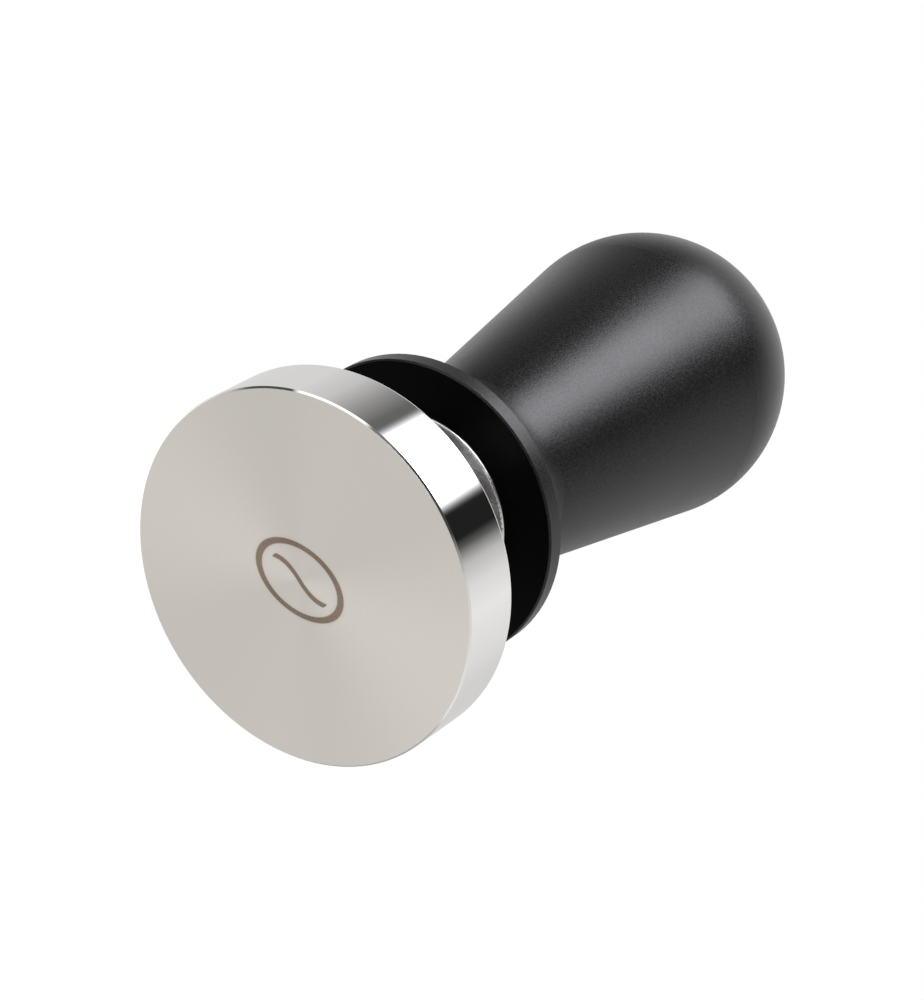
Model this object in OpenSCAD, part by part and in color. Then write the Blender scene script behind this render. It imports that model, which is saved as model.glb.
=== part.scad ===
// Calibrated espresso tamper: a steel tamping base on a sprung plunger, under a turned aluminium handle.
// +Z runs up the common axis. The origin is the centre of the flat face that presses the coffee.

/* [Base] */
// Diameter of the tamping base, which is the size of the filter basket
base_d = 53; // [45:0.1:65]
// Height of the tamping base
base_h = 10.1; // [9:0.1:16]
// Chamfer round the face that presses the coffee
face_chamfer = 0.25; // [0.1:0.05:0.6]
// Radius of the rounded edge round the back of the base
back_round = 0.5; // [0.1:0.05:1]
// Metal left under the blind tapped hole
base_floor = 2.4; // [1.5:0.1:3]

/* [Plunger] */
// Diameter of the plunger's sliding shaft
shaft_d = 18; // [16:0.1:22]
// Height of the hub that stands on the base and stops the handle
hub_h = 10.75; // [6:0.05:14]
// Width of the step from the sliding shaft out to the hub
hub_step = 3; // [2:0.1:4]
// Depth of the two spanner flats on the hub
hub_flat = 1.5; // [0.5:0.1:2]
// Width of the step from the sliding shaft out to the plunger's head
head_step = 1.8; // [1.2:0.1:2.5]
// Height of the plunger's head
head_h = 5; // [4.5:0.1:8]
// Diameter of the spigot that centres the plunger in the base
spigot_d = 11; // [10:0.1:14]
// Height of that spigot
spigot_h = 2; // [1:0.1:3]
// How far the handle travels down when it is pressed
travel = 6; // [3:0.1:9]

/* [Bolt] */
// Thread diameter of the bolt that clamps the plunger to the base
bolt_d = 8; // [5:0.1:8]
// Diameter of the bolt's head
bolt_head_d = 13; // [9:0.1:13.2]
// Height of the bolt's head
bolt_head_h = 6; // [4:0.1:8]
// Width across the flats of the bolt's hexagon socket
hex_af = 5; // [3:0.1:6]
// Thickness of the split lock washer
lock_washer_h = 2; // [1:0.1:2.5]

/* [Collar] */
// How far the collar stands out of the handle's mouth
collar_show = 0.4; // [0.2:0.05:3]
// Radius of the collar's rounded lower edge
collar_round = 0.35; // [0.1:0.05:0.8]
// How deep the collar's shoulder sits inside the handle's mouth
collar_sink = 1.3; // [0.5:0.05:2.5]
// Width of the collar's shoulder outside its thread
collar_shoulder = 2.7; // [1:0.1:3.5]
// Length of the collar's thread in the handle
thread_len = 8.5; // [6:0.1:12]
// Wall of the collar between its thread and the guide bush
collar_wall = 1.6; // [1.2:0.1:2.5]
// Wall of the guide bush
bush_wall = 1.35; // [0.8:0.05:2]
// Section diameter of the wiper ring in the collar
wiper_d = 1.8; // [1.2:0.1:2.4]
// Height of the rubber bumper that the plunger's head rests on
bumper_h = 1; // [0.5:0.1:2]

/* [Spring] */
// Length of the spring as fitted, with the handle up
spring_len = 36; // [30:0.5:44]
// Diameter of the spring's wire
wire_d = 2.6; // [1.6:0.1:2.8]
// Number of turns that work, without the closed turn at each end
active_turns = 6.5; // [4:0.5:7]
// Plate thickness of the seat under the spring
low_seat_h = 1.2; // [0.8:0.1:3]
// Plate thickness of the seat on top of the spring
top_seat_h = 3; // [2:0.1:5]
// Height of the bosses that centre the spring
boss_h = 3.5; // [2:0.1:5]
// Thickness of the thrust washer at the end of the handle's bore
thrust_h = 1.5; // [1:0.1:3]

/* [Handle] */
// Height of the handle, from the flange's lower face to the top of the knob
handle_h = 85.8; // [78:0.1:110]
// Diameter of the ball knob
knob_d = 44; // [38:0.1:56]
// Diameter of the finger flange
flange_d = 43.8; // [40:0.1:53]
// Thickness of the finger flange
flange_h = 3; // [2:0.1:6]
// Chamfer on both edges of the flange
flange_chamfer = 0.3; // [0.1:0.05:0.8]
// Radius of the hollow that runs from the flange into the grip
flare_r = 14; // [12:0.1:20]
// Height over the flange at which that hollow runs into the grip
flare_h = 12.6; // [6:0.1:13]
// Wall of the handle round the collar's thread
neck_wall = 1.8; // [1.5:0.1:4]
// Gap between the collar and the handle's mouth
mouth_gap = 0.05; // [0.03:0.01:0.3]

/* [Fits] */
// Radial clearance of a shaft that slides or turns in a bore
running = 0.06; // [0.02:0.01:0.1]
// Clearance of pieces that are fixed together, such as a thread
seated = 0.03; // [0.01:0.01:0.1]
// Gap that is left between collar and hub when the handle is fully down
stop_gap = 0.05; // [0.02:0.01:0.3]

/* [Hidden] */
$fn = 96;

steel = [0.78, 0.77, 0.75];
dull_steel = [0.62, 0.62, 0.63];
spring_steel = [0.50, 0.51, 0.53];
black = [0.11, 0.11, 0.12];
rubber = [0.06, 0.06, 0.06];
nylon = [0.93, 0.92, 0.88];
bronze = [0.72, 0.56, 0.34];

// Radii, from the plunger's shaft outwards
shaft_r = shaft_d / 2;
bush_r = shaft_r + running + bush_wall;
thread_r = bush_r + seated + collar_wall;
collar_r = thread_r + collar_shoulder;
mouth_r = collar_r + mouth_gap;
ring_r = shaft_r + head_step + 0.2;
head_r = shaft_r + head_step;
hub_r = shaft_r + hub_step;
chamber_r = ring_r + running;

// Heights, from the base upwards
hub_top = base_h + hub_h;
collar_low = hub_top + travel + stop_gap;
flange_z = collar_low + collar_show;
shoulder_z = flange_z + collar_sink;
collar_top = shoulder_z + thread_len;
head_low = collar_top + bumper_h;
head_top = head_low + head_h;
bolt_seat = head_top - bolt_head_h - lock_washer_h;
spring_low = head_top + low_seat_h;
spring_top = spring_low + spring_len;
seat_top = spring_top + seated + top_seat_h;
chamber_top = seat_top + thrust_h;

// Bolt, seal and the parts that centre the spring
bolt_r = bolt_d / 2;
washer_r = bolt_head_d / 2 + 0.5;
counterbore_r = washer_r + 0.2;
bolt_low = base_floor + 0.3;
spigot_r = spigot_d / 2;
seal_h = 0.6;
seal_in = spigot_r + 2.5;
seal_out = seal_in + 2.5;
coil_r = ring_r - 0.8 - wire_d / 2;
boss_r = coil_r - wire_d / 2 - 0.2;
groove_h = 2.6;
wiper_z = collar_low + 1.2 + wiper_d / 2;
bush_low = wiper_z + wiper_d / 2 + 1.2;
spanner_hole_r = 0.9;

// Handle outline: a cone that leaves the neck and touches the ball knob
knob_r = knob_d / 2;
flange_r = flange_d / 2;
handle_top = flange_z + handle_h;
knob_z = handle_top - knob_r;
flange_top = flange_z + flange_h;
neck_r = thread_r + seated + neck_wall;
knob_rise = knob_z - collar_top;
cone_angle = asin(knob_r / norm([neck_r, knob_rise])) - atan2(neck_r, knob_rise);
touch = [knob_r * cos(cone_angle), knob_z - knob_r * sin(cone_angle)];
flare_top = flange_top + flare_h;
flare_touch = [neck_r + (flare_top - collar_top) * tan(cone_angle), flare_top];
flare_c = flare_touch + flare_r * [cos(cone_angle), -sin(cone_angle)];
flare_foot = flare_c.x - sqrt(pow(flare_r, 2) - pow(flare_c.y - flange_top, 2));
flare_foot_r = min(flare_foot, flange_r - flange_chamfer - 0.1);

// Height of the wire's centre after a number of turns: one closed turn, the working turns, one closed turn
closed_pitch = wire_d * 1.04;
turns = active_turns + 2;
open_pitch = (spring_len - wire_d - 2 * closed_pitch) / active_turns;
function wire_z(t) = wire_d / 2 + closed_pitch * min(t, 1)
    + open_pitch * max(0, min(t - 1, active_turns))
    + closed_pitch * max(0, t - 1 - active_turns);

// A disc or rod with its own chamfer on each edge
module rod(r, z0, z1, low = 0, high = 0) {
    rotate_extrude()
        polygon([[0, z0], [r - low, z0], [r, z0 + low], [r, z1 - high], [r - high, z1], [0, z1]]);
}

// A disc with a chamfer on its lower edge and a rounded upper edge
module rounded_disc(r, z0, z1, low, edge) {
    rotate_extrude()
        union() {
            polygon([[0, z0], [r - low, z0], [r, z0 + low], [r, z1 - edge], [r - edge, z1], [0, z1]]);
            translate([r - edge, z1 - edge])
                circle(r = edge);
        }
}

// A plain ring between two heights
module ring(r_out, r_in, z0, z1) {
    rotate_extrude()
        polygon([[r_in, z0], [r_out, z0], [r_out, z1], [r_in, z1]]);
}

// A cutter from z0 up to z1
module bore(r, z0, z1) {
    translate([0, 0, z0])
        cylinder(r = r, h = z1 - z0);
}

// Steel disc that levels and presses the coffee, with a blind tapped hole in its back
module tamping_base() {
    color(steel)
    difference() {
        rounded_disc(base_d / 2, 0, base_h, face_chamfer, back_round);
        bore(spigot_r + seated, base_h - spigot_h, base_h + 1);
        bore(bolt_r + seated, base_floor, base_h);
    }
}

// Flat rubber seal let into the plunger's hub
module base_seal() {
    color(rubber)
        ring(seal_out, seal_in, base_h, base_h + seal_h);
}

// Steel plunger: hub with two spanner flats, sliding shaft and the head that the spring pushes on
module plunger() {
    color(dull_steel)
    difference() {
        union() {
            rod(spigot_r, base_h - spigot_h + seated, base_h + 1, 0.3);
            rod(hub_r, base_h, hub_top, 0, 0.3);
            rod(shaft_r, hub_top - 0.1, head_low + 0.1);
            rod(head_r, head_low, head_top, 0.3, 0.3);
        }
        ring(seal_out + seated, seal_in - seated, base_h - 1, base_h + seal_h + seated);
        for (side = [0, 180])
            rotate(side)
                translate([hub_r - hub_flat, -hub_r, base_h + hub_h * 0.4])
                    cube([hub_r, 2 * hub_r, hub_h * 0.6 - 2]);
        ring(head_r + 1, head_r - 1.2, head_low + (head_h - groove_h) / 2, head_low + (head_h + groove_h) / 2);
        bore(bolt_r + 0.25, 0, bolt_seat + 1);
        bore(counterbore_r, bolt_seat, head_top + 1);
    }
}

// Socket head bolt that clamps the plunger to the base
module plunger_bolt() {
    head_z = bolt_seat + lock_washer_h;
    color(dull_steel)
    difference() {
        union() {
            rod(bolt_r, bolt_low, head_z + 0.1, 0.8);
            rod(bolt_head_d / 2, head_z, head_top, 0, 0.4);
        }
        translate([0, 0, head_top - bolt_head_h * 0.6])
            cylinder(d = hex_af / cos(30), h = bolt_head_h, $fn = 6);
    }
}

// Split spring washer under the bolt's head
module lock_washer() {
    slit_w = 1.2;
    color(spring_steel)
    difference() {
        ring(washer_r, bolt_r + 0.3, bolt_seat, bolt_seat + lock_washer_h);
        translate([0, -slit_w / 2, bolt_seat - 1])
            cube([washer_r + 1, slit_w, lock_washer_h + 2]);
    }
}

// Plastic ring that guides the plunger's head in the handle's bore
module head_guide_ring() {
    middle = head_low + head_h / 2;
    color(nylon)
        ring(ring_r, head_r - 1.2 + seated, middle - groove_h / 2 + seated, middle + groove_h / 2 - seated);
}

// Seat under the spring: a washer with a centring boss, open for the hexagon key
module lower_spring_seat() {
    color(spring_steel)
    difference() {
        union() {
            rod(head_r, head_top, spring_low);
            rod(boss_r, head_top, spring_low + boss_h, 0, 0.6);
        }
        bore(hex_af, head_top - 1, spring_low + boss_h + 1);
    }
}

// Compression spring, swept as rings of points along its helix
module main_spring() {
    ring_sides = 8;
    rings_per_turn = 24;
    ring_count = round(turns * rings_per_turn);
    rings = [for (i = [0 : ring_count]) let (t = i * turns / ring_count, a = 360 * t)
        for (k = [0 : ring_sides - 1]) let (b = 360 * k / ring_sides, r = coil_r + wire_d / 2 * cos(b))
            [r * cos(a), r * sin(a), spring_low + wire_z(t) + wire_d / 2 * sin(b)]];
    walls = [for (i = [0 : ring_count - 1]) for (k = [0 : ring_sides - 1])
        let (n = (k + 1) % ring_sides, p = i * ring_sides, q = p + ring_sides)
            [p + k, q + k, q + n, p + n]];
    first = [for (k = [0 : ring_sides - 1]) k];
    last = [for (k = [ring_sides - 1 : -1 : 0]) ring_count * ring_sides + k];
    color(spring_steel)
        polyhedron(points = rings, faces = concat([first], walls, [last]), convexity = 10);
}

// Plastic seat on top of the spring, which lets the handle turn
module upper_spring_seat() {
    plate_low = seat_top - top_seat_h;
    color(nylon)
    union() {
        rod(ring_r, plate_low, seat_top, 0.3, 0.3);
        rod(boss_r, plate_low - boss_h, plate_low + 0.1, 0.6);
    }
}

// Bronze washer between the turning handle and the spring's seat
module thrust_washer() {
    color(bronze)
        ring(ring_r - 0.4, boss_r / 2, seat_top, chamber_top);
}

// Rubber ring that the plunger's head comes back to
module bumper_ring() {
    color(rubber)
        ring(ring_r - 0.2, shaft_r + 0.3, collar_top, head_low);
}

// Plastic bush that the plunger's shaft slides in
module guide_bush() {
    color(nylon)
        ring(bush_r, shaft_r + running, bush_low + seated, collar_top);
}

// O-ring that keeps ground coffee out of the bush
module wiper_ring() {
    color(rubber)
    rotate_extrude()
        translate([shaft_r + running + wiper_d / 2, wiper_z])
            circle(d = wiper_d);
}

// Steel collar, screwed into the handle, that holds the plunger in
module retaining_collar() {
    lip_r = shaft_r + 0.3;
    color(steel)
    difference() {
        union() {
            mirror([0, 0, 1])
                rounded_disc(collar_r, -shoulder_z, -collar_low, 0.15, collar_round);
            rod(thread_r, shoulder_z - 0.1, collar_top, 0, 0.5);
        }
        bore(lip_r, collar_low - 1, bush_low + 1);
        bore(bush_r + seated, bush_low, collar_top + 1);
        ring(shaft_r + running + wiper_d + 0.1, lip_r - 0.1,
             wiper_z - wiper_d / 2 - seated, wiper_z + wiper_d / 2 + seated);
        for (a = [0, 180])
            rotate(a)
                translate([(collar_r + lip_r) / 2, 0, collar_low - 1])
                    cylinder(r = spanner_hole_r, h = 1.9);
    }
}

// Half outline of the handle: flange, hollow flare, cone and ball knob
module handle_outline() {
    c = flange_chamfer;
    difference() {
        union() {
            polygon([[0, flange_z], [flange_r - c, flange_z], [flange_r, flange_z + c],
                     [flange_r, flange_top - c], [flange_r - c, flange_top], [flare_foot_r, flange_top],
                     flare_touch, touch, [0, touch.y]]);
            intersection() {
                translate([0, knob_z])
                    circle(r = knob_r);
                translate([0, touch.y])
                    square([knob_r + 1, handle_top]);
            }
        }
        intersection() {
            translate(flare_c)
                circle(r = flare_r);
            translate([0, flange_top])
                square([flare_c.x + flare_r, handle_h]);
        }
    }
}

// Aluminium handle, turned from one bar, bored from below for the collar and the spring
module handle_body() {
    color(black)
    difference() {
        rotate_extrude()
            handle_outline();
        bore(mouth_r, flange_z - 1, shoulder_z);
        bore(thread_r + seated, shoulder_z - 1, collar_top);
        bore(chamber_r, collar_top - 1, chamber_top);
    }
}

tamping_base();
base_seal();
plunger();
plunger_bolt();
lock_washer();
head_guide_ring();
lower_spring_seat();
main_spring();
upper_spring_seat();
thrust_washer();
bumper_ring();
guide_bush();
wiper_ring();
retaining_collar();
handle_body();
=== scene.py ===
"""Calibrated espresso tamper: steel base, sprung plunger and turned black handle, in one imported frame."""
import math

import bmesh
import bpy
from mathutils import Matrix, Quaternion, Vector


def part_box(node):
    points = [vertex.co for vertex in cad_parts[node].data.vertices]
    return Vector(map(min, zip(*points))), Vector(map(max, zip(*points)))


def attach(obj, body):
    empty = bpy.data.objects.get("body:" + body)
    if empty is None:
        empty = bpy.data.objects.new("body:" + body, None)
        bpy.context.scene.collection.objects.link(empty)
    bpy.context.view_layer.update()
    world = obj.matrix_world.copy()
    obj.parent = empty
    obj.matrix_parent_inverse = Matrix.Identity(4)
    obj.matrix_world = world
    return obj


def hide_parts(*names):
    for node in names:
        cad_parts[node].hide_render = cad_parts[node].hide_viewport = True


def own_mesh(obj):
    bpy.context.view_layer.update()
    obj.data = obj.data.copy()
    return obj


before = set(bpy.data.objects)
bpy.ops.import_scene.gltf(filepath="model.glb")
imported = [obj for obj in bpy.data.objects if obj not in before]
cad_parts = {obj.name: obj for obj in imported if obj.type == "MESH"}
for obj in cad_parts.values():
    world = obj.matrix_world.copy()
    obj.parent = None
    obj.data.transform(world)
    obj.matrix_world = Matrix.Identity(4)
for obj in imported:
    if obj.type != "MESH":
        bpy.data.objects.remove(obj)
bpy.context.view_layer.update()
MM = 0.001

# ---------------------------------------------------------------- camera
# A long lens well below the base, looking up at the pressing face and rolled so that the handle leaves to the
# upper right. The tamper itself stays upright in its own frame.
camera_distance = 400 * MM
camera_below = math.radians(47.81)
camera_roll = math.radians(58.78)
camera_target = Vector((2.04, 0, 37.69)) * MM

camera = bpy.data.objects.new("camera", bpy.data.cameras.new("camera"))
bpy.context.collection.objects.link(camera)
camera.location = camera_distance * Vector((0, -math.cos(camera_below), -math.sin(camera_below)))
look = (camera_target - camera.location).to_track_quat("-Z", "Y")
camera.rotation_mode = "QUATERNION"
camera.rotation_quaternion = look @ Quaternion((0, 0, 1), camera_roll)
camera.data.lens = 110
camera.data.sensor_width = 36
camera.data.clip_start = 0.01
bpy.context.scene.camera = camera
bpy.context.scene.view_settings.view_transform = "Standard"

# ---------------------------------------------------------------- tamping base
# One disc of stainless steel, bored from behind for the plunger and its bolt. The side and back are polished
# to a mirror; the face is left as the lathe cut it, so fine rings catch the light across the cut. A small
# coffee bean is annealed into the face by laser.
base_low, base_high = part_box("tamping_base")
base_radius = base_high.x
base_height = base_high.z
face_chamfer = 0.25 * MM
back_round = 0.5 * MM
spigot_bore_radius = 5.53 * MM
spigot_bore_depth = 2 * MM
bolt_hole_radius = 4.03 * MM
bolt_hole_floor = 2.4 * MM
support = 0.04 * MM
back_round_steps = 12
crisp_edge = math.radians(30)
face_depth = 0.02 * MM
turned_sides = 512
steel_colour = (0.66, 0.655, 0.648)
steel_haze_colour = (0.68, 0.676, 0.67)
face_colour = (0.66, 0.635, 0.592)
mark_colour = (0.27, 0.205, 0.155)
mark_halo_colour = (0.60, 0.565, 0.51)
bean_half_length = 6.8 * MM
bean_half_width = 4.7 * MM
bean_line = 0.85 * MM
bean_turn = math.radians(-28)
bean_crease_wave = 0.22
bean_crease_end = 0.72, 0.82
coarse_cut, fine_cut = 0.9 * MM, 0.17 * MM
cut_depth = 0.0012 * MM
mark_dulling = 0.15


def new_finish(name):
    """An empty node material and its Principled shader."""
    finish = bpy.data.materials.new(name)
    finish.use_nodes = True
    return finish, finish.node_tree, finish.node_tree.nodes["Principled BSDF"]


def wire(tree, socket, value):
    """Joins a socket to another one, or sets it to a number or a colour."""
    if isinstance(value, bpy.types.NodeSocket):
        tree.links.new(value, socket)
    elif isinstance(value, tuple) and len(value) == 3 and socket.type == "RGBA":
        socket.default_value = (*value, 1)
    else:
        socket.default_value = value


def calc(tree, operation, a, b=0.0, c=0.0):
    """One step of arithmetic between sockets or numbers."""
    node = tree.nodes.new("ShaderNodeMath")
    node.operation = operation
    for socket, value in zip(node.inputs, (a, b, c)):
        wire(tree, socket, value)
    return node.outputs[0]


def fade(tree, value, low, high, at_low=0.0, at_high=1.0):
    """A smooth change from at_low to at_high while value goes from low to high."""
    node = tree.nodes.new("ShaderNodeMapRange")
    node.interpolation_type = "SMOOTHSTEP"
    for name, setting in zip(("Value", "From Min", "From Max", "To Min", "To Max"),
                             (value, low, high, at_low, at_high)):
        wire(tree, node.inputs[name], setting)
    return node.outputs["Result"]


def mixed(tree, factor, first, second):
    """The colour first where factor is 0 and second where it is 1."""
    node = tree.nodes.new("ShaderNodeMix")
    node.data_type = "RGBA"
    wire(tree, node.inputs["Factor"], factor)
    wire(tree, node.inputs["A"], first)
    wire(tree, node.inputs["B"], second)
    return node.outputs["Result"]


def length(tree, a, b):
    """The length of the line whose two parts are a and b."""
    return calc(tree, "SQRT", calc(tree, "ADD", calc(tree, "MULTIPLY", a, a), calc(tree, "MULTIPLY", b, b)))


def here(tree):
    """The point being shaded, in metres."""
    return tree.nodes.new("ShaderNodeTexCoord").outputs["Object"]


def parts(tree, point):
    """The x, y and z of a point."""
    split = tree.nodes.new("ShaderNodeSeparateXYZ")
    wire(tree, split.inputs[0], point)
    return split.outputs


def lathe_rings(tree, along, pitch, detail=2.0):
    """Uneven rings left by a cutting tool: noise along one distance only."""
    noise = tree.nodes.new("ShaderNodeTexNoise")
    noise.noise_dimensions = "1D"
    wire(tree, noise.inputs["W"], calc(tree, "DIVIDE", along, pitch))
    wire(tree, noise.inputs["Detail"], detail)
    return noise.outputs["Fac"]


def speckle(tree, where, size, detail=2.0):
    """Noise in all three directions, with grains of about the size given."""
    noise = tree.nodes.new("ShaderNodeTexNoise")
    wire(tree, noise.inputs["Vector"], where)
    wire(tree, noise.inputs["Scale"], 1 / size)
    wire(tree, noise.inputs["Detail"], detail)
    return noise.outputs["Fac"]


def bumped(tree, shader, height, depth, strength=1.0):
    """Raises the surface by height, from 0 to 1, times depth in metres."""
    bump = tree.nodes.new("ShaderNodeBump")
    bump.inputs["Strength"].default_value = strength
    bump.inputs["Distance"].default_value = depth
    wire(tree, bump.inputs["Height"], height)
    wire(tree, shader.inputs["Normal"], bump.outputs["Normal"])


def bean_mark(tree, x, y):
    """How far a point is from the lines of a coffee bean: its oval outline and the crease along it."""
    along = calc(tree, "ADD", calc(tree, "MULTIPLY", x, math.cos(bean_turn)),
                 calc(tree, "MULTIPLY", y, math.sin(bean_turn)))
    across = calc(tree, "SUBTRACT", calc(tree, "MULTIPLY", y, math.cos(bean_turn)),
                  calc(tree, "MULTIPLY", x, math.sin(bean_turn)))
    u = calc(tree, "DIVIDE", along, bean_half_length)
    v = calc(tree, "DIVIDE", across, bean_half_width)
    reach = length(tree, u, v)
    outline = calc(tree, "ABSOLUTE", calc(tree, "SUBTRACT", reach, 1.0))
    wave = calc(tree, "MULTIPLY", calc(tree, "SINE", calc(tree, "MULTIPLY", u, math.pi)), bean_crease_wave)
    crease = calc(tree, "ABSOLUTE", calc(tree, "SUBTRACT", v, wave))
    crease = calc(tree, "ADD", crease, fade(tree, reach, *bean_crease_end))
    return calc(tree, "MINIMUM", outline, crease)


def polished_and_turned_steel():
    """Mirror-polished steel, and lathe-turned steel on the flat face that presses the coffee."""
    finish, tree, polished = new_finish("polished_steel")
    where = here(tree)
    x, y, z = parts(tree, where)
    radius = length(tree, x, y)
    haze = speckle(tree, where, 9 * MM, 3)
    polished.inputs["Metallic"].default_value = 1
    wire(tree, polished.inputs["Base Color"], mixed(tree, haze, steel_colour, steel_haze_colour))
    wire(tree, polished.inputs["Roughness"], fade(tree, haze, 0.3, 0.7, 0.03, 0.05))

    turned = tree.nodes.new("ShaderNodeBsdfPrincipled")
    turned.inputs["Metallic"].default_value = 1
    turned.inputs["Anisotropic"].default_value = 0.85
    turned.inputs["Anisotropic Rotation"].default_value = 0.25
    tangent = tree.nodes.new("ShaderNodeTangent")
    tangent.direction_type = "RADIAL"
    tangent.axis = "Z"
    wire(tree, turned.inputs["Tangent"], tangent.outputs[0])
    coarse = lathe_rings(tree, radius, coarse_cut, 3)
    fine = lathe_rings(tree, radius, fine_cut, 1)
    cut = calc(tree, "ADD", calc(tree, "MULTIPLY", coarse, 0.5), calc(tree, "MULTIPLY", fine, 0.5))
    tone = mixed(tree, fade(tree, cut, 0.3, 0.7), tuple(c * 0.97 for c in face_colour),
                 tuple(c * 1.03 for c in face_colour))
    half_line = bean_line / (bean_half_length + bean_half_width)
    distance = bean_mark(tree, x, y)
    line = fade(tree, distance, half_line * 0.8, half_line * 1.3, 1.0, 0.0)
    halo = fade(tree, distance, half_line, half_line * 2.6, 0.5, 0.0)
    grain = fade(tree, speckle(tree, where, 0.25 * MM, 2), 0.3, 0.7, 0.86, 1.0)
    tone = mixed(tree, halo, tone, mark_halo_colour)
    burnt = calc(tree, "MULTIPLY", line, grain)
    wire(tree, turned.inputs["Base Color"], mixed(tree, burnt, tone, mark_colour))
    duller = calc(tree, "MULTIPLY", line, mark_dulling)
    wire(tree, turned.inputs["Roughness"], calc(tree, "ADD", fade(tree, cut, 0.2, 0.8, 0.34, 0.42), duller))
    bumped(tree, turned, cut, cut_depth)

    both = tree.nodes.new("ShaderNodeMixShader")
    wire(tree, both.inputs["Fac"], calc(tree, "LESS_THAN", z, base_low.z + face_depth))
    tree.links.new(polished.outputs[0], both.inputs[1])
    tree.links.new(turned.outputs[0], both.inputs[2])
    tree.links.new(both.outputs[0], tree.nodes["Material Output"].inputs["Surface"])
    return finish


def base_outline():
    """Half outline of the base, as radii and heights, from the rim of its face to the bottom of the bore."""
    outline = [(base_radius - face_chamfer, 0),
               (base_radius, face_chamfer),
               (base_radius, face_chamfer + support),
               (base_radius, base_height - back_round - support)]
    for step in range(back_round_steps + 1):
        angle = math.radians(90 * step / back_round_steps)
        outline.append((base_radius - back_round * (1 - math.cos(angle)),
                        base_height - back_round * (1 - math.sin(angle))))
    shelf = base_height - spigot_bore_depth
    return outline + [(spigot_bore_radius, base_height),
                      (spigot_bore_radius, shelf),
                      (bolt_hole_radius, shelf),
                      (bolt_hole_radius, bolt_hole_floor)]


def turned_piece(name, outline):
    """A half outline turned about the Z axis, with smooth curves and crisp edges."""
    shape = bmesh.new()
    rings = []
    for radius, height in outline:
        angles = (2 * math.pi * k / turned_sides for k in range(turned_sides))
        rings.append([shape.verts.new((radius * math.cos(a), radius * math.sin(a), height)) for a in angles])
    for below, above in zip(rings, rings[1:]):
        for k in range(turned_sides):
            ahead = (k + 1) % turned_sides
            shape.faces.new((below[k], below[ahead], above[ahead], above[k]))
    shape.faces.new(tuple(reversed(rings[0])))
    shape.faces.new(rings[-1])
    bmesh.ops.recalc_face_normals(shape, faces=shape.faces)
    for edge in shape.edges:
        edge.smooth = edge.calc_face_angle(0) < crisp_edge
    for face in shape.faces:
        face.smooth = True
    mesh = bpy.data.meshes.new(name)
    shape.to_mesh(mesh)
    shape.free()
    piece = bpy.data.objects.new(name, mesh)
    bpy.context.collection.objects.link(piece)
    return piece


def finish_node(node, finish):
    """Gives a CAD node its finish."""
    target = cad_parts[node]
    target.data.materials.clear()
    target.data.materials.append(finish)


base = turned_piece("turned_base", base_outline())
base.data.materials.append(polished_and_turned_steel())
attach(base, "base_unit")
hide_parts("tamping_base")

# ---------------------------------------------------------------- base seal
# A flat ring punched from rubber sheet. It is let into the underside of the plunger's hub, so that no water
# reaches the bolt.
rubber_colour = (0.012, 0.012, 0.012)
bloom_colour = (0.03, 0.03, 0.029)


def black_rubber():
    """Matt moulded rubber with a faint pale bloom."""
    finish, tree, shader = new_finish("black_rubber")
    where = here(tree)
    bloom = fade(tree, speckle(tree, where, 4 * MM, 3), 0.45, 0.8)
    wire(tree, shader.inputs["Base Color"], mixed(tree, bloom, rubber_colour, bloom_colour))
    wire(tree, shader.inputs["Roughness"], fade(tree, bloom, 0, 1, 0.62, 0.8))
    bumped(tree, shader, speckle(tree, where, 0.12 * MM, 2), 0.01 * MM, 0.7)
    return finish


seal_rubber = black_rubber()
finish_node("base_seal", seal_rubber)

# ---------------------------------------------------------------- plunger
# Turned from steel bar: a hub with two spanner flats, the ground shaft that slides in the handle, and a head
# for the spring. The lathe leaves fine, even rings on it.
bar_colour = (0.56, 0.555, 0.545)
bar_bright_colour = tuple(c * 1.12 for c in bar_colour)


def turned_steel():
    """Steel with fine rings round the Z axis."""
    finish, tree, shader = new_finish("turned_steel")
    where = here(tree)
    x, y, z = parts(tree, where)
    cut = lathe_rings(tree, calc(tree, "ADD", z, length(tree, x, y)), 0.22 * MM, 3)
    shader.inputs["Metallic"].default_value = 1
    wire(tree, shader.inputs["Base Color"], mixed(tree, cut, bar_colour, bar_bright_colour))
    wire(tree, shader.inputs["Roughness"], fade(tree, speckle(tree, where, 3 * MM, 3), 0.3, 0.7, 0.2, 0.28))
    bumped(tree, shader, cut, 0.001 * MM)
    return finish


steel_bar = turned_steel()
finish_node("plunger", steel_bar)

# ---------------------------------------------------------------- plunger bolt
# A socket head bolt clamps the plunger to the base. Its thread is rolled, with its crests painted lighter as
# a painted highlight, and the head has a plain bright skin.
bolt_colour = (0.36, 0.36, 0.37)
# Painted highlight: the colour of the thread's crests.
thread_crest_highlight_colour = tuple(c * 1.25 for c in bolt_colour)
thread_pitch = 1.25 * MM
thread_depth = 0.6 * MM


def threaded_bolt_steel():
    """Bright steel, with a helical thread up to the lock washer, whose crests carry a painted highlight."""
    finish, tree, shader = new_finish("bolt_steel")
    where = here(tree)
    x, y, z = parts(tree, where)
    thread_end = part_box("lock_washer")[0].z
    turns = calc(tree, "SUBTRACT", calc(tree, "DIVIDE", z, thread_pitch),
                 calc(tree, "DIVIDE", calc(tree, "ARCTAN2", y, x), 2 * math.pi))
    saw = calc(tree, "MULTIPLY", calc(tree, "FRACT", turns), 2)
    flank = calc(tree, "ABSOLUTE", calc(tree, "SUBTRACT", saw, 1))
    thread = calc(tree, "MULTIPLY", flank, calc(tree, "LESS_THAN", z, thread_end))
    shader.inputs["Metallic"].default_value = 1
    # Painted highlight: the thread's crests are coloured lighter than its roots and the head.
    wire(tree, shader.inputs["Base Color"], mixed(tree, thread, bolt_colour, thread_crest_highlight_colour))
    wire(tree, shader.inputs["Roughness"], fade(tree, speckle(tree, where, 2 * MM, 3), 0.3, 0.7, 0.28, 0.4))
    bumped(tree, shader, thread, thread_depth)
    return finish


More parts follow.
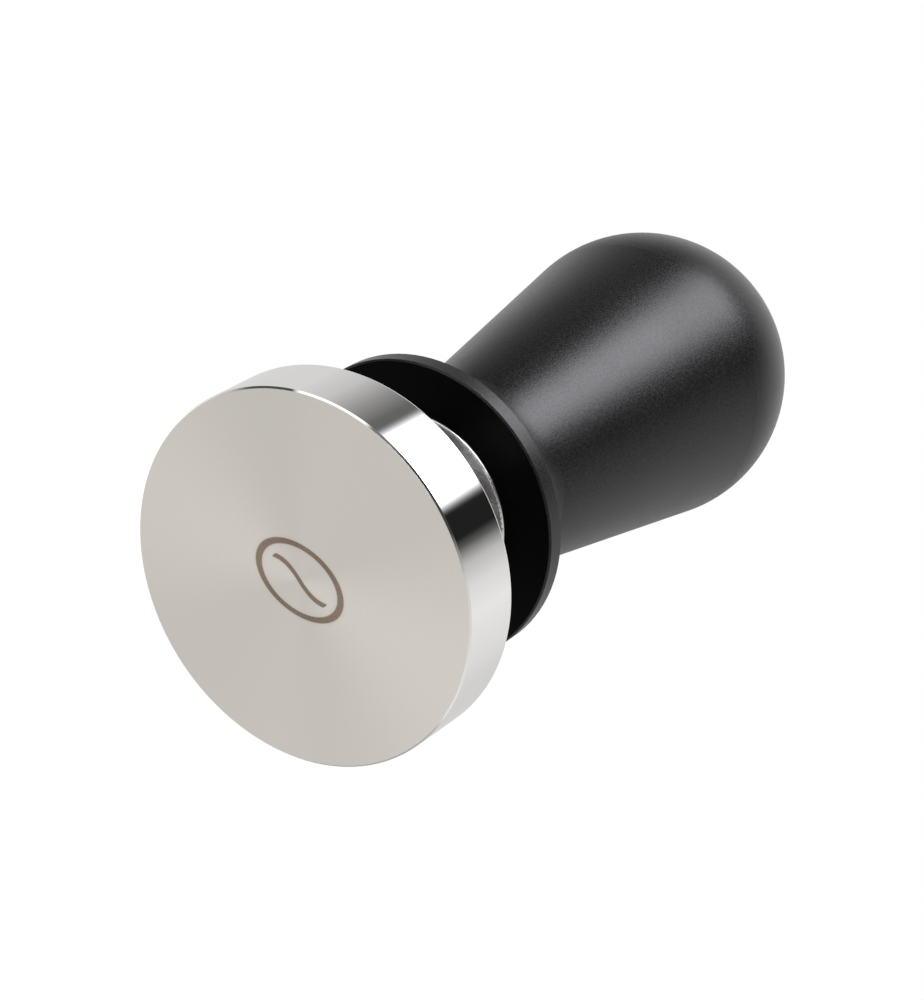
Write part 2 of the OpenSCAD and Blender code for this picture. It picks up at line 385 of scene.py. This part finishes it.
finish_node("plunger_bolt", threaded_bolt_steel())

# ---------------------------------------------------------------- lock washer and lower spring seat
# Both are of hardened spring steel with a thin film of oil. The washer is split and keeps the bolt tight; the
# seat lies on the plunger's head, and its boss holds the spring in the middle.
spring_colour = (0.15, 0.155, 0.165)
spring_bright_colour = tuple(c * 1.7 for c in spring_colour)


def oiled_spring_steel():
    """Dark drawn steel, a little smeared with oil."""
    finish, tree, shader = new_finish("spring_steel")
    where = here(tree)
    smear = speckle(tree, where, 5 * MM, 4)
    shader.inputs["Metallic"].default_value = 1
    wire(tree, shader.inputs["Base Color"], mixed(tree, smear, spring_colour, spring_bright_colour))
    wire(tree, shader.inputs["Roughness"], fade(tree, smear, 0.3, 0.7, 0.2, 0.42))
    bumped(tree, shader, speckle(tree, where, 0.3 * MM, 3), 0.006 * MM)
    return finish


oiled_steel = oiled_spring_steel()
finish_node("lock_washer", oiled_steel)
finish_node("lower_spring_seat", oiled_steel)

# ---------------------------------------------------------------- plastic bearings
# Machined nylon: the split guide ring round the plunger's head, the seat on top of the spring, which lets the
# handle turn, and the bush in the collar, which the shaft slides in.
nylon_colour = (0.80, 0.785, 0.73)
nylon_cloud_colour = (0.86, 0.85, 0.81)


def white_nylon():
    """Slightly clouded nylon with faint tool rings."""
    finish, tree, shader = new_finish("white_nylon")
    where = here(tree)
    x, y, z = parts(tree, where)
    cloud = speckle(tree, where, 3 * MM, 3)
    wire(tree, shader.inputs["Base Color"], mixed(tree, cloud, nylon_colour, nylon_cloud_colour))
    wire(tree, shader.inputs["Roughness"], fade(tree, cloud, 0.3, 0.7, 0.4, 0.52))
    shader.inputs["Subsurface Weight"].default_value = 0.15
    shader.inputs["Subsurface Scale"].default_value = 0.5 * MM
    cut = lathe_rings(tree, calc(tree, "ADD", z, length(tree, x, y)), 0.3 * MM)
    bumped(tree, shader, cut, 0.006 * MM)
    return finish


nylon = white_nylon()
finish_node("head_guide_ring", nylon)
finish_node("upper_spring_seat", nylon)
finish_node("guide_bush", nylon)

# ---------------------------------------------------------------- main spring
# Wound from drawn wire between the two seats, with one closed turn at each end, ground flat. It is built at
# rest, though the real spring gives way as the handle is pressed down; its lower end stays on its seat.
wire_radius = 1.3 * MM
working_turns = 6.5
ground_depth = 0.45 * MM
spring_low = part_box("main_spring")[0].z
spring_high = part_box("main_spring")[1].z
coil_radius = 8.9 * MM
wire_sides = 18
rings_per_turn = 48


def wire_height(turn):
    """Height of the wire's centre after so many turns: closed, working, closed."""
    first = spring_low + wire_radius - ground_depth
    closed_rise = 2 * wire_radius
    middle_rise = spring_high - spring_low - 2 * wire_radius + 2 * ground_depth
    open_rise = (middle_rise - 2 * closed_rise) / working_turns
    last_closed = max(0.0, turn - 1 - working_turns)
    working = max(0.0, min(turn - 1, working_turns))
    return first + closed_rise * (min(turn, 1) + last_closed) + open_rise * working


def ground_coil():
    """The wire swept along its helix, cut off flat at both ends."""
    shape = bmesh.new()
    count = round((working_turns + 2) * rings_per_turn)
    rings = []
    for i in range(count + 1):
        turn = i / rings_per_turn
        angle = 2 * math.pi * turn
        ring = []
        for k in range(wire_sides):
            around = 2 * math.pi * k / wire_sides
            out = coil_radius + wire_radius * math.cos(around)
            height = wire_height(turn) + wire_radius * math.sin(around)
            height = min(max(height, spring_low), spring_high)
            ring.append(shape.verts.new((out * math.cos(angle), out * math.sin(angle), height)))
        rings.append(ring)
    for behind, ahead in zip(rings, rings[1:]):
        for k in range(wire_sides):
            beside = (k + 1) % wire_sides
            shape.faces.new((behind[k], ahead[k], ahead[beside], behind[beside]))
    shape.faces.new(rings[0])
    shape.faces.new(tuple(reversed(rings[-1])))
    bmesh.ops.recalc_face_normals(shape, faces=shape.faces)
    mesh = bpy.data.meshes.new("wound_spring")
    shape.to_mesh(mesh)
    shape.free()
    mesh.shade_smooth()
    return mesh


spring = bpy.data.objects.new("wound_spring", ground_coil())
spring.data.materials.append(oiled_steel)
bpy.context.collection.objects.link(spring)
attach(spring, "base_unit")
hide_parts("main_spring")
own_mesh(spring)

# ---------------------------------------------------------------- thrust washer
# Bronze, pressed into the end of the handle's bore, so the handle turns on the nylon seat without wear.
bronze_colour = (0.50, 0.30, 0.13)
tarnish_colour = (0.33, 0.19, 0.09)


def plain_bronze():
    """Turned bronze, slightly browned."""
    finish, tree, shader = new_finish("bronze")
    where = here(tree)
    x, y, _ = parts(tree, where)
    tarnish = speckle(tree, where, 2.5 * MM, 4)
    shader.inputs["Metallic"].default_value = 1
    wire(tree, shader.inputs["Base Color"], mixed(tree, tarnish, bronze_colour, tarnish_colour))
    wire(tree, shader.inputs["Roughness"], fade(tree, tarnish, 0.3, 0.7, 0.28, 0.42))
    bumped(tree, shader, lathe_rings(tree, length(tree, x, y), 0.25 * MM), 0.004 * MM)
    return finish


finish_node("thrust_washer", plain_bronze())

# ---------------------------------------------------------------- retaining collar, with its rings
# A steel ring screwed into the handle's mouth, with a rounded lower edge that stands just proud of it. It
# holds the bush and the wiper ring, and the rubber bumper on it takes the plunger's head as the handle
# springs back.
finish_node("retaining_collar", steel_bar)
finish_node("wiper_ring", seal_rubber)
finish_node("bumper_ring", seal_rubber)

# ---------------------------------------------------------------- handle
# Turned from one bar of aluminium, bead-blasted and anodised black, so it is satin with a very fine grain.
# The flange's lower face is painted a deeper black that reflects less: painted shade under the flange.
anodised_colour = (0.0018, 0.0018, 0.002)
anodised_bright_colour = tuple(c * 1.8 for c in anodised_colour)
# Painted shade: the colour of the flange's lower face, darker than the rest.
underside_painted_shade_colour = (0.004, 0.004, 0.0042)
flange_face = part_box("handle_body")[0].z
grain_size = 0.24 * MM
grain_depth = 0.016 * MM
grain_ends = 0.3, 0.7
bare_metal_share = 0.4
gloss_cloud = 14 * MM
skin_ior = 1.39


def black_anodised():
    """Black oxide on blasted aluminium: fine grain, faintly uneven gloss, and painted shade on the lower
    face, a deeper black that reflects less.
    """
    finish, tree, shader = new_finish("black_anodised")
    where = here(tree)
    z = parts(tree, where)[2]
    grain = speckle(tree, where, grain_size, 1)
    cloud = speckle(tree, where, gloss_cloud, 2)
    # Painted shade: the flange's lower face becomes a near-black metal that reflects almost nothing.
    underside_painted_shade = fade(tree, z, flange_face + 0.02 * MM, flange_face + 0.1 * MM, 1.0, 0.0)
    skin = mixed(tree, fade(tree, grain, 0.35, 0.7), anodised_colour, anodised_bright_colour)
    wire(tree, shader.inputs["Base Color"], mixed(tree, underside_painted_shade, skin, underside_painted_shade_colour))
    glints = fade(tree, grain, *grain_ends, bare_metal_share, 0.0)
    wire(tree, shader.inputs["Metallic"], calc(tree, "MAXIMUM", underside_painted_shade, glints))
    satin = fade(tree, cloud, 0.3, 0.7, 0.31, 0.34)
    rough_grain = fade(tree, grain, *grain_ends, 0.0, 0.08)
    wire(tree, shader.inputs["Roughness"], calc(tree, "ADD", satin, rough_grain))
    shader.inputs["IOR"].default_value = skin_ior
    bumped(tree, shader, grain, grain_depth)
    return finish


finish_node("handle_body", black_anodised())

# ---------------------------------------------------------------- floor, studio and light
# A pale floor just under the base, which can only be seen from above, and a white light tent with one soft
# window. The tent is darker on the camera's side, so that polished steel shows dark bands.
floor_drop = 0.2 * MM
floor_size = 3.0
paper_dark, paper_light = (0.80, 0.80, 0.79), (0.84, 0.84, 0.83)


def pale_floor():
    """Off-white paper, seen from above only."""
    finish, tree, shader = new_finish("floor_paper")
    where = here(tree)
    mottle = speckle(tree, where, 60 * MM, 3)
    wire(tree, shader.inputs["Base Color"], mixed(tree, mottle, paper_dark, paper_light))
    shader.inputs["Roughness"].default_value = 0.9
    clear = tree.nodes.new("ShaderNodeBsdfTransparent")
    side = tree.nodes.new("ShaderNodeNewGeometry")
    both = tree.nodes.new("ShaderNodeMixShader")
    wire(tree, both.inputs["Fac"], side.outputs["Backfacing"])
    tree.links.new(shader.outputs[0], both.inputs[1])
    tree.links.new(clear.outputs[0], both.inputs[2])
    tree.links.new(both.outputs[0], tree.nodes["Material Output"].inputs["Surface"])
    return finish


half = floor_size / 2
floor_mesh = bpy.data.meshes.new("floor")
floor_corners = [(-half, -half, 0), (half, -half, 0), (half, half, 0), (-half, half, 0)]
floor_mesh.from_pydata(floor_corners, [], [(0, 1, 2, 3)])
floor = bpy.data.objects.new("floor", floor_mesh)
floor.location.z = -floor_drop
floor_mesh.materials.append(pale_floor())
bpy.context.collection.objects.link(floor)
floor.visible_shadow = False
floor.visible_diffuse = False
floor.visible_glossy = False

# Brightness of the tent by direction, in degrees from +X towards +Y, as rings stacked from below the base up
# to the roof. Each ring takes over from the one below it between two sines of elevation. A white card stands
# near -X in the second ring.
floor_ring = [(-180, 0.75), (-135, 0.4), (-110, 0.08), (-70, 0.08), (-45, 0.9), (0, 1.15), (45, 1.25),
              (90, 0.95), (135, 0.6), (180, 0.75)]
card_ring = [(-180, 0.1), (-176, 1.9), (-143, 1.9), (-138, 0.2), (-110, 0.08), (-70, 0.08), (-45, 0.9),
             (0, 1.1), (45, 1.2), (90, 0.95), (125, 0.5), (140, 0.1), (180, 0.1)]
level_ring = [(-180, 0.02), (-150, 0.0), (-80, 0.0), (-62, 0.03), (-40, 0.7), (0, 0.95), (30, 0.65),
              (70, 0.46), (100, 1.6), (130, 1.5), (155, 0.68), (170, 0.12), (180, 0.02)]
upper_ring = [(-180, 0.78), (-162, 0.42), (-148, 0.19), (-134, 0.17), (-128, 0.24), (-116, 0.2),
              (-100, 0.02), (-80, 0.02), (-63, 0.02), (-58, 0.14), (-48, 0.72), (-34, 1.03), (-18, 1.16),
              (14, 1.0), (30, 0.88), (50, 0.80), (80, 0.70), (105, 0.76), (134, 0.86), (160, 0.92),
              (180, 0.78)]
ring_starts = [(floor_ring, -0.97, -0.85), (card_ring, -0.62, -0.52), (level_ring, -0.2, -0.1),
               (upper_ring, 0.66, 0.76)]
roof_start = 0.84, 0.93
overhead = (1.15, 1.14, 1.135)
underfoot = (0.92, 0.91, 0.89)
tent_tint = (1.0, 0.993, 0.985)


def ring_ramp(tree, turn, stops):
    """Brightness round a ring, from its list of directions."""
    ramp = tree.nodes.new("ShaderNodeValToRGB")
    elements = ramp.color_ramp.elements
    while len(elements) < len(stops):
        elements.new(0.5)
    for element, (degrees, level) in zip(elements, stops):
        element.position = degrees / 360 + 0.5
        element.color = (*(level * c for c in tent_tint), 1)
    wire(tree, ramp.inputs["Fac"], turn)
    return ramp.outputs["Color"]


world = bpy.data.worlds.new("light_tent")
bpy.context.scene.world = world
world.use_nodes = True
tree = world.node_tree
background = tree.nodes["Background"]
x, y, z = parts(tree, tree.nodes.new("ShaderNodeTexCoord").outputs["Generated"])
turn = calc(tree, "ADD", calc(tree, "DIVIDE", calc(tree, "ARCTAN2", y, x), 2 * math.pi), 0.5)
tent = underfoot
for ring, blend_low, blend_high in ring_starts:
    tent = mixed(tree, fade(tree, z, blend_low, blend_high), tent, ring_ramp(tree, turn, ring))
tent = mixed(tree, fade(tree, z, *roof_start), tent, overhead)
path = tree.nodes.new("ShaderNodeLightPath")
wire(tree, background.inputs["Color"], mixed(tree, path.outputs["Is Camera Ray"], tent, (1.0, 1.0, 1.0)))

# A window of light behind diffusing cloth stands beside the camera, from below the base to above the knob.
window_azimuth = math.radians(-112.75)
window_distance = 250 * MM
window_left, window_right = -78 * MM, 112 * MM
window_foot, window_head = -40 * MM, 350 * MM
window_blur = 60 * MM
window_colour = (0.955, 0.945, 1.0)
window_level = 11.5
window_falloff = 1.3


def soft_span(tree, value, start, end):
    """From 1 well inside start and end to 0 well outside them, changing within the blur of each."""
    rise = fade(tree, value, start - window_blur, start + window_blur)
    fall = fade(tree, value, end - window_blur, end + window_blur, 1.0, 0.0)
    return calc(tree, "MULTIPLY", rise, fall)


def lit_cloth():
    """Thin white cloth lit from behind, fading towards its edges."""
    finish, tree, shader = new_finish("lit_cloth")
    x, _, z = parts(tree, here(tree))
    tree.nodes.remove(shader)
    across = soft_span(tree, x, window_left, window_right)
    upward = soft_span(tree, z, window_foot, window_head)
    evenness = calc(tree, "POWER", calc(tree, "MULTIPLY", across, upward), window_falloff)
    clear = tree.nodes.new("ShaderNodeBsdfTransparent")
    both = tree.nodes.new("ShaderNodeAddShader")
    glow = tree.nodes.new("ShaderNodeEmission")
    wire(tree, glow.inputs["Color"], window_colour)
    wire(tree, glow.inputs["Strength"], calc(tree, "MULTIPLY", evenness, window_level))
    tree.links.new(glow.outputs[0], both.inputs[0])
    tree.links.new(clear.outputs[0], both.inputs[1])
    tree.links.new(both.outputs[0], tree.nodes["Material Output"].inputs["Surface"])
    return finish


window_mesh = bpy.data.meshes.new("window_of_light")
left, right = window_left - window_blur, window_right + window_blur
foot, head = window_foot - window_blur, window_head + window_blur
window_corners = [(left, 0, foot), (right, 0, foot), (right, 0, head), (left, 0, head)]
window_mesh.from_pydata(window_corners, [], [(0, 1, 2, 3)])
window_mesh.materials.append(lit_cloth())
window = bpy.data.objects.new("window_of_light", window_mesh)
bpy.context.collection.objects.link(window)
window.location = window_distance * Vector((math.cos(window_azimuth), math.sin(window_azimuth), 0))
window.rotation_euler.z = window_azimuth + math.pi / 2
window.visible_camera = False
window.visible_diffuse = False
window.visible_shadow = False
